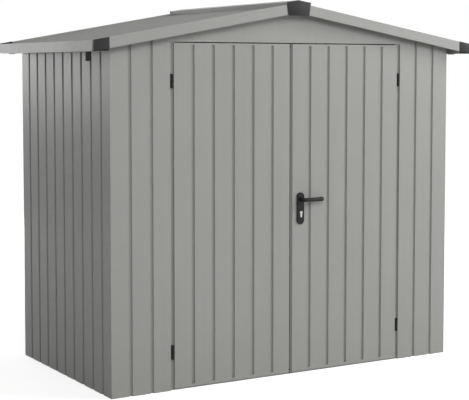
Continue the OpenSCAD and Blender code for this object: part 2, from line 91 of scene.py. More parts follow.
class NodeBench:
    """Adds nodes to one node tree and links them."""

    def __init__(self, tree: bpy.types.NodeTree) -> None:
        """Keep the tree and clear it.

        Args:
            tree: Node tree to fill.
        """
        self.tree = tree
        tree.nodes.clear()

    def add(self, kind: str, inputs: dict | None = None, **settings: object) -> bpy.types.Node:
        """Add one node.

        Args:
            kind: Blender's type name of the node.
            inputs: Socket name or index to a value, or to the output socket that feeds it.
            settings: Properties of the node.

        Returns:
            The new node.
        """
        node = self.tree.nodes.new(kind)
        for name, value in settings.items():
            setattr(node, name, value)
        self.feed(node, inputs or {})
        return node

    def feed(self, node: bpy.types.Node, inputs: dict) -> None:
        """Set or link the inputs of one node.

        Args:
            node: Node to feed.
            inputs: Socket name or index to a value, or to the output socket that feeds it.
        """
        for socket, value in inputs.items():
            if isinstance(value, Socket):
                self.tree.links.new(value, node.inputs[socket])
            else:
                node.inputs[socket].default_value = value

    def noise(self, vector: Socket, scale: float, detail: float = 2.0) -> Socket:
        """Noise from 0 to 1 over a vector.

        Args:
            vector: Coordinates.
            scale: Cells per metre.
            detail: Octaves.

        Returns:
            The noise value.
        """
        sizes = {"Vector": vector, "Scale": scale, "Detail": detail}
        return self.add("ShaderNodeTexNoise", sizes).outputs[0]

    def spread(self, value: Socket, low: float, high: float,
               start: float = 0.3, stop: float = 0.7) -> Socket:
        """Stretch a value to a new range.

        Args:
            value: Value to stretch.
            low: Result at start.
            high: Result at stop.
            start: Value that gives low.
            stop: Value that gives high.

        Returns:
            The stretched value.
        """
        sizes = {"Value": value, "From Min": start, "From Max": stop, "To Min": low, "To Max": high}
        return self.add("ShaderNodeMapRange", sizes).outputs[0]

    def calc(self, first: Socket, second: Socket | float, operation: str = "ADD") -> Socket:
        """Combine two values by one arithmetic operation.

        Args:
            first: First value.
            second: Second value or a number.
            operation: Name of the operation.

        Returns:
            The result.
        """
        return self.add("ShaderNodeMath", {0: first, 1: second}, operation=operation).outputs[0]

    def tint(self, share: Socket, first: Colour | Socket, second: Colour | Socket) -> Socket:
        """Mix two colours.

        Args:
            share: Share of the second colour.
            first: First colour.
            second: Second colour.

        Returns:
            The mixed colour.
        """
        low, high = (part if isinstance(part, Socket) else (*part, 1.0) for part in (first, second))
        mix = {0: share, 6: low, 7: high}
        return self.add("ShaderNodeMix", mix, data_type="RGBA").outputs[2]

    def stretched(self, vector: Socket, scale: Point3) -> Socket:
        """Scale coordinates by axis.

        Args:
            vector: Coordinates.
            scale: Factor for each axis.

        Returns:
            The scaled coordinates.
        """
        return self.add("ShaderNodeMapping", {"Vector": vector, "Scale": scale}).outputs[0]

    def bump(self, height: Socket, strength: float, depth: float) -> Socket:
        """Turn a height pattern into a relief.

        Args:
            height: Height pattern from 0 to 1.
            strength: Share of the relief that shows.
            depth: Depth of the relief in metres.

        Returns:
            The normal.
        """
        sizes = {"Height": height, "Strength": strength, "Distance": depth}
        return self.add("ShaderNodeBump", sizes).outputs[0]

    def vector(self, x: Socket | float = 0.0, y: Socket | float = 0.0,
               z: Socket | float = 0.0) -> Socket:
        """Join three values to a vector.

        Args:
            x: First part.
            y: Second part.
            z: Third part.

        Returns:
            The vector.
        """
        return self.add("ShaderNodeCombineXYZ", {0: x, 1: y, 2: z}).outputs[0]


@dataclass(frozen=True)
class Finish:
    """Common part of all finishes."""

    name: str
    slot: Slot
    colour: Colour
    roughness: float

    def material(self) -> bpy.types.Material:
        """Give the finish's material, made on first use.

        Returns:
            The material.
        """
        found = bpy.data.materials.get(self.name)
        if found:
            return found
        made = bpy.data.materials.new(self.name)
        made.use_nodes = True
        bench = NodeBench(made.node_tree)
        place = bench.add("ShaderNodeTexCoord").outputs["Object"]
        shader = bench.add("ShaderNodeBsdfPrincipled")
        bench.feed(shader, self.pattern(bench, place))
        bench.add("ShaderNodeOutputMaterial", {"Surface": shader.outputs[0]})
        return made

    def pattern(self, bench: NodeBench, place: Socket) -> dict:
        """Build the pattern nodes of the finish.

        Args:
            bench: Bench over the material's tree.
            place: Object coordinates.

        Returns:
            Socket of the shader to a value, or to the output that feeds it.
        """
        raise NotImplementedError

    def shade(self, times: float) -> Colour:
        """Return the colour, made lighter or darker."""
        return tuple(min(1.0, part * times) for part in self.colour)


@dataclass(frozen=True)
class CoatedSteel(Finish):
    """Baked coating on steel sheet: even, with a fine grain and a little dust low down."""

    gloss: float = 0.5
    cloud: float = 0.03
    cloud_scale: float = 2.6
    cloud_share: float = 0.6
    cloud_dull: float = 0.03
    streak_stretch: Point3 = (24.0, 24.0, 0.7)
    streak_share: float = 0.4
    speckle_scale: float = 260.0
    speckle_dull: float = 0.04
    grain_scale: float = 1100.0
    grain_strength: float = 0.08
    grain_depth: float = 0.3 * MM
    dust: Colour = (0.30, 0.285, 0.255)
    dust_share: float = 0.16
    dust_least: float = 0.35
    dust_height: float = 0.30
    dust_dull: float = 0.6

    def pattern(self, bench: NodeBench, place: Socket) -> dict:
        """Build clouds, streaks, dust and grain.

        Args:
            bench: Bench over the material's tree.
            place: Object coordinates.

        Returns:
            Socket of the shader to a value, or to the output that feeds it.
        """
        clouds = bench.noise(place, self.cloud_scale, 3.0)
        streaks = bench.noise(bench.stretched(place, self.streak_stretch), 1.0)
        speckle = bench.noise(place, self.speckle_scale)
        tone = bench.calc(bench.spread(clouds, 0.0, self.cloud_share),
                          bench.spread(streaks, 0.0, self.streak_share))
        coat = bench.tint(tone, self.shade(1.0 - self.cloud), self.shade(1.0 + self.cloud))
        height = bench.add("ShaderNodeSeparateXYZ", {0: place}).outputs[2]
        low = bench.spread(height, self.dust_share, 0.0, 0.0, self.dust_height)
        dusty = bench.calc(low, bench.spread(streaks, self.dust_least, 1.0), "MULTIPLY")
        dull = bench.calc(bench.spread(clouds, -self.cloud_dull, self.cloud_dull),
                          bench.spread(speckle, -self.speckle_dull, self.speckle_dull))
        rough = bench.calc(bench.calc(dull, self.roughness),
                           bench.calc(dusty, self.dust_dull, "MULTIPLY"))
        grain = bench.noise(place, self.grain_scale)
        return {"Base Color": bench.tint(dusty, coat, self.dust), "Roughness": rough,
                "Normal": bench.bump(grain, self.grain_strength, self.grain_depth),
                "Specular IOR Level": self.gloss}


@dataclass(frozen=True)
class ZincSteel(Finish):
    """Hot dip zinc on steel profiles, with its crystals."""

    crystals: float = 75.0
    crystal_share: float = 0.65
    crystal_dull: float = 0.10
    warp_scale: float = 40.0
    warp: float = 0.012
    tarnish_scale: float = 6.0
    tarnish_share: float = 0.35
    tones: Point2 = (0.80, 1.12)
    metal: float = 0.85

    def pattern(self, bench: NodeBench, place: Socket) -> dict:
        """Build crystals and tarnish.

        Args:
            bench: Bench over the material's tree.
            place: Object coordinates.

        Returns:
            Socket of the shader to a value, or to the output that feeds it.
        """
        bent = bench.add("ShaderNodeTexNoise", {"Vector": place, "Scale": self.warp_scale})
        warp = bench.add("ShaderNodeVectorMath", {0: bent.outputs["Color"], 1: (self.warp,) * 3},
                         operation="MULTIPLY")
        moved = bench.add("ShaderNodeVectorMath", {0: place, 1: warp.outputs[0]}, operation="ADD")
        cells = bench.add("ShaderNodeTexVoronoi",
                          {"Vector": moved.outputs[0], "Scale": self.crystals})
        grey = bench.add("ShaderNodeSeparateColor", {0: cells.outputs["Color"]}).outputs[0]
        tarnish = bench.noise(place, self.tarnish_scale, 3.0)
        tone = bench.calc(bench.spread(grey, 0.0, self.crystal_share, 0.0, 1.0),
                          bench.spread(tarnish, 0.0, self.tarnish_share))
        dull = bench.spread(grey, -self.crystal_dull, self.crystal_dull, 0.0, 1.0)
        return {"Base Color": bench.tint(tone, *map(self.shade, self.tones)),
                "Roughness": bench.calc(dull, self.roughness), "Metallic": self.metal}


@dataclass(frozen=True)
class MouldedPlastic(Finish):
    """Black plastic with a finely eroded mould grain."""

    gloss: float = 0.25
    chalk_scale: float = 14.0
    chalk_dull: Point2 = (-0.05, 0.07)
    tones: Point2 = (0.85, 1.25)
    grain_scale: float = 900.0
    grain_strength: float = 0.25
    grain_depth: float = 0.4 * MM

    def pattern(self, bench: NodeBench, place: Socket) -> dict:
        """Build chalking and grain.

        Args:
            bench: Bench over the material's tree.
            place: Object coordinates.

        Returns:
            Socket of the shader to a value, or to the output that feeds it.
        """
        chalk = bench.noise(place, self.chalk_scale, 4.0)
        tone = bench.tint(bench.spread(chalk, 0.0, 1.0), *map(self.shade, self.tones))
        rough = bench.calc(bench.spread(chalk, *self.chalk_dull), self.roughness)
        grain = bench.noise(place, self.grain_scale)
        return {"Base Color": tone, "Roughness": rough,
                "Normal": bench.bump(grain, self.grain_strength, self.grain_depth),
                "Specular IOR Level": self.gloss}


@dataclass(frozen=True)
class PowderCoat(Finish):
    """Black powder coat on cast fittings, a touch lighter where hands rub it."""

    gloss: float = 0.2
    rub_scale: float = 30.0
    rub_dull: Point2 = (0.05, -0.06)
    tones: Point2 = (0.8, 1.3)
    peel_scale: float = 620.0
    peel_strength: float = 0.12
    peel_depth: float = 0.4 * MM

    def pattern(self, bench: NodeBench, place: Socket) -> dict:
        """Build rubbed places and orange peel.

        Args:
            bench: Bench over the material's tree.
            place: Object coordinates.

        Returns:
            Socket of the shader to a value, or to the output that feeds it.
        """
        rubbed = bench.noise(place, self.rub_scale, 3.0)
        tone = bench.tint(bench.spread(rubbed, 0.0, 1.0), *map(self.shade, self.tones))
        rough = bench.calc(bench.spread(rubbed, *self.rub_dull), self.roughness)
        peel = bench.noise(place, self.peel_scale, 1.0)
        return {"Base Color": tone, "Roughness": rough,
                "Normal": bench.bump(peel, self.peel_strength, self.peel_depth),
                "Specular IOR Level": self.gloss}


@dataclass(frozen=True)
class BrushedNickel(Finish):
    """Matt nickel plate with fine brush lines."""

    line_stretch: Point3 = (90.0, 90.0, 2600.0)
    line_dull: float = 0.06
    line_strength: float = 0.1
    line_depth: float = 0.2 * MM
    tones: Point2 = (0.88, 1.08)

    def pattern(self, bench: NodeBench, place: Socket) -> dict:
        """Build brush lines in tone, roughness and relief.

        Args:
            bench: Bench over the material's tree.
            place: Object coordinates.

        Returns:
            Socket of the shader to a value, or to the output that feeds it.
        """
        lines = bench.noise(bench.stretched(place, self.line_stretch), 1.0)
        tone = bench.tint(bench.spread(lines, 0.0, 1.0), *map(self.shade, self.tones))
        dull = bench.spread(lines, -self.line_dull, self.line_dull)
        return {"Base Color": tone, "Roughness": bench.calc(dull, self.roughness),
                "Normal": bench.bump(lines, self.line_strength, self.line_depth),
                "Metallic": 1.0}


WALL_COAT = CoatedSteel("wall_coat", Slot.SHEET, (0.330, 0.330, 0.318), 0.30, gloss=0.13)
# The walls' paint on the fascias, ridge cap, door posts and header, with its colour set a little
# darker as painted shade; its roughness and gloss are its own.
SHADED_TRIM_COAT = CoatedSteel("shaded_trim_coat", Slot.SHEET, (0.320, 0.320, 0.308), 0.45, gloss=0.26)
ROOF_COAT = CoatedSteel("roof_coat", Slot.ROOF, (0.335, 0.335, 0.323), 0.72, gloss=0.1)
ZINC = ZincSteel("zinc_coat", Slot.ZINC, (0.50, 0.51, 0.51), 0.42)
CAP_PLASTIC = MouldedPlastic("cap_plastic", Slot.PLASTIC, (0.015, 0.015, 0.015), 0.48, gloss=0.22)
LOCK_BLACK = PowderCoat("lock_black", Slot.HARDWARE, (0.010, 0.010, 0.010), 0.42)
NICKEL = BrushedNickel("lock_nickel", Slot.NICKEL, (0.46, 0.45, 0.42), 0.32)


@dataclass
class Piece:
    """One finished mesh of the scene and the body it rides on."""

    name: str
    mesh: BMesh
    finish: Finish
    body: Body
    stands_for: tuple[str, ...] = ()
    crease_deg: float = 32.0

    def place(self) -> None:
        """Make the object, dress it and hand it to the frame."""
        bmesh.ops.remove_doubles(self.mesh, verts=self.mesh.verts[:], dist=WELD)
        bmesh.ops.recalc_face_normals(self.mesh, faces=self.mesh.faces[:])
        limit = math.radians(self.crease_deg)
        for edge in self.mesh.edges:
            edge.smooth = edge.is_manifold and edge.calc_face_angle(0.0) < limit
        for face in self.mesh.faces:
            face.smooth = True
        data = bpy.data.meshes.new(self.name)
        self.mesh.to_mesh(data)
        self.mesh.free()
        data.materials.append(self.finish.material())
        made = bpy.data.objects.new(self.name, data)
        bpy.context.scene.collection.objects.link(made)
        settle(made, self.body, self.stands_for)


def settle(made: bpy.types.Object, body: Body,
           stands_for: tuple[str, ...] = ()) -> None:
    """Hand a finished object to the frame and report it.

    Args:
        made: Object with its place in its mesh.
        body: Body that carries it.
        stands_for: CAD nodes that it replaces.
    """
    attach(made, body.value)
    if stands_for:
        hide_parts(*stands_for)
    LOG.info("%s: %d faces on %s", made.name, len(made.data.polygons), body.value)


def arc(centre: Point2, radius: float, start: float, stop: float, steps: int) -> list[Point2]:
    """Points on a circular arc.

    Args:
        centre: Middle of the arc.
        radius: Its radius.
        start: First angle in degrees.
        stop: Last angle in degrees.
        steps: Number of chords.

    Returns:
        The points, both ends included.
    """
    angles = [math.radians(start + (stop - start) * i / steps) for i in range(steps + 1)]
    return [(centre[0] + radius * math.cos(a), centre[1] + radius * math.sin(a)) for a in angles]


def prism(mesh: BMesh, outline: list[Point2], hole: list[Point2],
          near: float, far: float, rim: float) -> None:
    """Draw a flat outline in X and Z out along Y, with an eased front rim.

    Args:
        mesh: Mesh to add to.
        outline: Outer loop.
        hole: Inner loop.
        near: Y of the seen face.
        far: Y of the hidden face.
        rim: Width of the eased edge round the seen face.
    """
    rings: list[list[bmesh.types.BMEdge]] = []
    for loop in (outline, hole):
        verts = [mesh.verts.new((x, near, z)) for x, z in loop]
        rings.append([mesh.edges.new((verts[i - 1], verts[i])) for i in range(len(verts))])
    filled = bmesh.ops.triangle_fill(mesh, use_beauty=True, use_dissolve=True,
                                     edges=rings[0] + rings[1])
    faces = [item for item in filled["geom"] if isinstance(item, bmesh.types.BMFace)]
    body = bmesh.ops.extrude_face_region(mesh, geom=faces, use_keep_orig=True)["geom"]
    moved = [item for item in body if isinstance(item, bmesh.types.BMVert)]
    bmesh.ops.translate(mesh, verts=moved, vec=(0.0, far - near, 0.0))
    bmesh.ops.bevel(mesh, geom=[edge for edge in rings[0] if edge.is_valid], offset=rim, segments=3,
                    profile=EASE_PROFILE, affect="EDGES", clamp_overlap=True)


def tube(mesh: BMesh, path: list[Vector], radii: list[float], steps: int = 28) -> None:
    """Sweep a round section along a level path and close both ends.

    Args:
        mesh: Mesh to add to.
        path: Points of the middle line.
        radii: Radius at each point.
        steps: Number of sides.
    """
    up = Vector((0.0, 0.0, 1.0))
    turn = [math.tau * k / steps for k in range(steps)]
    rings = []
    for i, point in enumerate(path):
        ahead = (path[min(i + 1, len(path) - 1)] - path[max(i - 1, 0)]).normalized()
        side = ahead.cross(up).normalized()
        rings.append([mesh.verts.new(point + radii[i] * (math.cos(a) * side + math.sin(a) * up))
                      for a in turn])
    for low, high in zip(rings, rings[1:]):
        for k in range(steps):
            mesh.faces.new((low[k - 1], low[k], high[k], high[k - 1]))
    mesh.faces.new(rings[0])
    mesh.faces.new(rings[-1])


def middle(node: str) -> Vector:
    """Return the middle of a CAD node's box."""
    low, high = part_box(node)
    return (low + high) / 2


def start_tree(name: str, inputs: dict[str, str]) -> NodeBench:
    """Start a Geometry Nodes tree with named inputs.

    Args:
        name: Name of the tree.
        inputs: Label of each input to its socket type.

    Returns:
        Bench over the new tree.
    """
    tree = bpy.data.node_groups.new(name, "GeometryNodeTree")
    tree.interface.new_socket("Geometry", in_out="OUTPUT", socket_type="NodeSocketGeometry")
    for label, kind in {"Geometry": "Geometry", **inputs, "Finish": "Material"}.items():
        tree.interface.new_socket(label, in_out="INPUT", socket_type="NodeSocket" + kind)
    return NodeBench(tree)


def end_tree(bench: NodeBench, shape: Socket, finish: Socket) -> None:
    """Close a tree: realize, set the material and send it out.

    Args:
        bench: Bench over the tree.
        shape: Geometry to send out.
        finish: Material input of the tree.
    """
    real = bench.add("GeometryNodeRealizeInstances", {0: shape}).outputs[0]
    dressed = bench.add("GeometryNodeSetMaterial", {"Geometry": real, "Material": finish})
    bench.add("NodeGroupOutput", {0: dressed.outputs[0]})


def grow(name: str, bench: NodeBench, seed: bpy.types.Mesh,
         inputs: dict[str, object]) -> bpy.types.Object:
    """Grow a plain mesh from a tree.

    Args:
        name: Name of the new object.
        bench: Bench over the tree.
        seed: Mesh that the tree starts from.
        inputs: Value of each named input.

    Returns:
        The object with its plain mesh and no modifier.
    """
    made = bpy.data.objects.new(name, seed)
    bpy.context.scene.collection.objects.link(made)
    modifier = made.modifiers.new("grow", "NODES")
    modifier.node_group = bench.tree
    for item in bench.tree.interface.items_tree:
        if item.in_out == "INPUT" and item.name in inputs:
            modifier[item.identifier] = inputs[item.name]
    ready = made.evaluated_get(bpy.context.evaluated_depsgraph_get())
    shape = bpy.data.meshes.new_from_object(ready)
    made.modifiers.remove(modifier)
    made.data = shape
    shape.name = name
    bpy.data.meshes.remove(seed)
    return made


def eased_copy(node: str, width: float) -> BMesh:
    """Copy a CAD node's mesh, merge it and ease its edges.

    Args:
        node: Name of the node.
        width: Width of the eased edge.

    Returns:
        The new mesh.
    """
    mesh = bmesh.new()
    mesh.from_mesh(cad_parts[node].data)
    bmesh.ops.remove_doubles(mesh, verts=mesh.verts[:], dist=CAD_WELD)
    bmesh.ops.dissolve_limit(mesh, angle_limit=math.radians(FLAT_DEG), verts=mesh.verts[:],
                             edges=mesh.edges[:])
    limit = math.radians(SHARP_DEG)
    sharp = [edge for edge in mesh.edges if edge.is_manifold and edge.calc_face_angle(0.0) > limit]
    bmesh.ops.bevel(mesh, geom=sharp, offset=width, segments=2, profile=EASE_PROFILE,
                    affect="EDGES", clamp_overlap=True)
    return mesh


@dataclass
class GroovedWalls:
    """Wall sheets with full height grooves, grown from their section.

    A groove row is the number of its first groove, counted from the middle, and its length.
    """

    pitch: float = GROOVE_PITCH
    mouth: float = 10.5 * MM
    bed: float = 7.5 * MM
    depth: float = 9.0 * MM
    fold: float = 1.6 * MM
    fold_steps: int = 4
    sheet: float = 0.8 * MM
    roof_slope: float = math.tan(math.radians(10.0))
    front_left_row: tuple[int, int] = (-8, 2)
    front_right_row: tuple[int, int] = (7, 2)
    back_row: tuple[int, int] = (-8, 17)
    side_row: tuple[int, int] = (-4, 9)
    bench: NodeBench = field(init=False)

    def build(self) -> None:
        """Grow the five grooved sheets."""
        self.bench = self.tree()
        low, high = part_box("left_wall")
        side, end = -low.x, high.y
        slope = self.roof_slope
        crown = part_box("roof_sheet_left")[1].z - self.sheet * math.hypot(1.0, slope)
        front = Matrix.Translation((0.0, -end, 0.0))
        back = Matrix.Translation((0.0, end, 0.0)) @ Matrix.Rotation(math.pi, 4, "Z")
        edge = side - self.sheet
        jamb = -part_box("front_wall_left")[1].x
        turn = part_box("front_wall_left")[1].y + end
        self.wall("front_wall_left", front, self.front_left_row, (-edge, -jamb), (0.0, turn),
                  (crown, slope))
        self.wall("front_wall_right", front, self.front_right_row, (jamb, edge), (turn, 0.0),
                  (crown, slope))
        self.wall("back_wall", back, self.back_row, (-edge, edge), (0.0, 0.0), (crown, slope))
        top = crown - side * slope
        for node, sign in (("left_wall", -1.0), ("right_wall", 1.0)):
            quarter = Matrix.Rotation(sign * math.pi / 2, 4, "Z")
            place = Matrix.Translation((sign * side, 0.0, 0.0)) @ quarter
            self.wall(node, place, self.side_row, (-end, end), (0.0, 0.0), (top, 0.0))

    def wall(self, node: str, place: Matrix, row: tuple[int, int], span: Point2, turns: Point2,
             top: Point2) -> None:
        """Grow one sheet and hand it to the frame.

        Args:
            node: CAD node that it stands for.
            place: Place of the sheet; its face looks along -Y before that.
            row: Groove row.
            span: Start and stop along the face.
            turns: Depth of the folds at the start and at the stop.
            top: Height of the top edge in the middle and its fall per metre.
        """
        first, count = row
        sizes = {"Grooves": count, "First": first * self.pitch, "Pitch": self.pitch,
                 "Mouth": self.mouth, "Bed": self.bed, "Depth": self.depth, "Fold": self.fold,
                 "Start": span[0], "Stop": span[1], "Start Turn": turns[0], "Stop Turn": turns[1],
                 "Crown": top[0], "Slope": top[1], "Finish": WALL_COAT.material()}
        made = grow(node + "_sheet", self.bench, bpy.data.meshes.new(node), sizes)
        shape = made.data
        shape.transform(place)
        outward = place.to_3x3() @ Vector((0.0, -1.0, 0.0))
        if sum(face.area * face.normal.dot(outward) for face in shape.polygons) < 0.0:
            shape.flip_normals()
        shape.shade_flat()
        thick = made.modifiers.new("thickness", "SOLIDIFY")
        thick.thickness = self.sheet
        thick.offset = -1.0
        thick.use_even_offset = True
        settle(made, Body.SHED, (node,))

    def tree(self) -> NodeBench:
        """Build the tree: the section with rounded folds, drawn up to the roof.

        Returns:
            Bench over the tree.
        """
        lengths = ("First", "Pitch", "Mouth", "Bed", "Depth", "Fold", "Start", "Stop",
                   "Start Turn", "Stop Turn", "Crown", "Slope")
        bench = start_tree("grooved_sheet", {"Grooves": "Int", **dict.fromkeys(lengths, "Float")})
        given = bench.add("NodeGroupInput").outputs
        section = self.section(bench, given)
        curve = bench.add("GeometryNodeMeshToCurve", {"Mesh": section}).outputs[0]
        folds = {"Curve": curve, "Count": self.fold_steps, "Radius": given["Fold"],
                 "Limit Radius": True}
        curve = bench.add("GeometryNodeFilletCurve", folds, mode="POLY").outputs[0]
        wire = bench.add("GeometryNodeCurveToMesh", {"Curve": curve}).outputs[0]
        rise = bench.vector(z=given["Crown"])
        drawn = bench.add("GeometryNodeExtrudeMesh", {"Mesh": wire, "Offset": rise}, mode="EDGES")
        position = bench.add("GeometryNodeInputPosition").outputs[0]
        spot = bench.add("ShaderNodeSeparateXYZ", {0: position}).outputs
        fall = bench.calc(bench.calc(spot[0], 0.0, "ABSOLUTE"), given["Slope"], "MULTIPLY")
        upper = bench.vector(spot[0], spot[1], bench.calc(given["Crown"], fall, "SUBTRACT"))
        cut = {"Geometry": drawn.outputs["Mesh"], "Position": upper,
               "Selection": drawn.outputs["Top"]}
        sheet = bench.add("GeometryNodeSetPosition", cut).outputs[0]
        end_tree(bench, sheet, given["Finish"])
        return bench

    def section(self, bench: NodeBench, given: bpy.types.NodeOutputs) -> Socket:
        """Build the section: a row of points, each set by its number.

        Two points lie at each end, a fold and an edge, and four at each groove.

        Args:
            bench: Bench over the tree.
            given: Inputs of the tree.

        Returns:
            The section as a mesh line.
        """
        corners = bench.calc(given["Grooves"], 4.0, "MULTIPLY")
        line = bench.add("GeometryNodeMeshLine", {"Count": bench.calc(corners, 4.0)}).outputs[0]
        number = bench.add("GeometryNodeInputIndex").outputs[0]
        corner = bench.calc(bench.calc(bench.calc(number, 2.0, "SUBTRACT"), 0.0, "MAXIMUM"),
                            bench.calc(corners, 1.0, "SUBTRACT"), "MINIMUM")
        groove = bench.calc(bench.calc(corner, 4.0, "DIVIDE"), 0.0, "FLOOR")
        within = bench.calc(corner, bench.calc(groove, 4.0, "MULTIPLY"), "SUBTRACT")
        across = bench.calc(within, 1.5, "SUBTRACT")
        rim = bench.calc(bench.calc(across, 0.0, "ABSOLUTE"), 1.0, "GREATER_THAN")
        flank = bench.calc(given["Mouth"], given["Bed"], "SUBTRACT")
        width = bench.calc(given["Bed"], bench.calc(flank, rim, "MULTIPLY"))
        half = bench.calc(width, bench.calc(across, 0.0, "SIGN"), "MULTIPLY")
        centre = bench.calc(given["First"], bench.calc(groove, given["Pitch"], "MULTIPLY"))
        sunk = bench.calc(given["Depth"],
                          bench.calc(bench.calc(rim, -1.0, "MULTIPLY"), 1.0), "MULTIPLY")
        spots = ((given["Start"], given["Start Turn"]), (given["Start"], 0.0),
                 (bench.calc(centre, half), sunk),
                 (given["Stop"], 0.0), (given["Stop"], given["Stop Turn"]))
        pick = bench.add("GeometryNodeIndexSwitch", data_type="VECTOR")
        for _ in spots[2:]:
            pick.index_switch_items.new()
        past = bench.calc(number, bench.calc(corners, 1.0), "SUBTRACT")
        late = bench.calc(past, 0.0, "MAXIMUM")
        bench.feed(pick, {"Index": bench.calc(bench.calc(number, 2.0, "MINIMUM"), late)})
        bench.feed(pick, {str(i): bench.vector(u, v) for i, (u, v) in enumerate(spots)})
        placed = bench.add("GeometryNodeSetPosition",
                           {"Geometry": line, "Position": pick.outputs[0]}).outputs[0]
        merged = {"Geometry": placed, "Distance": CAD_WELD}
        return bench.add("GeometryNodeMergeByDistance", merged).outputs[0]


@dataclass(frozen=True)
class Fastener:
    """Head sizes of one kind of fastener."""

    name: str
    flange: float
    flange_height: float
    head: float
    crown: float
    height: float
    sides: int


HEX_SCREW = Fastener("hex_screw", 6.5 * MM, 1.2 * MM, 4.4 * MM, 4.1 * MM, 4.5 * MM, 6)
POP_RIVET = Fastener("pop_rivet", 3.6 * MM, 0.4 * MM, 2.7 * MM, 1.4 * MM, 0.8 * MM, 12)
PLATE_SCREW = Fastener("plate_screw", 3.9 * MM, 0.3 * MM, 3.2 * MM, 2.2 * MM, 0.5 * MM, 12)
EDGE_BUFFER = Fastener("edge_buffer", 3.2 * MM, 0.5 * MM, 3.2 * MM, 3.0 * MM, 7.8 * MM, 12)


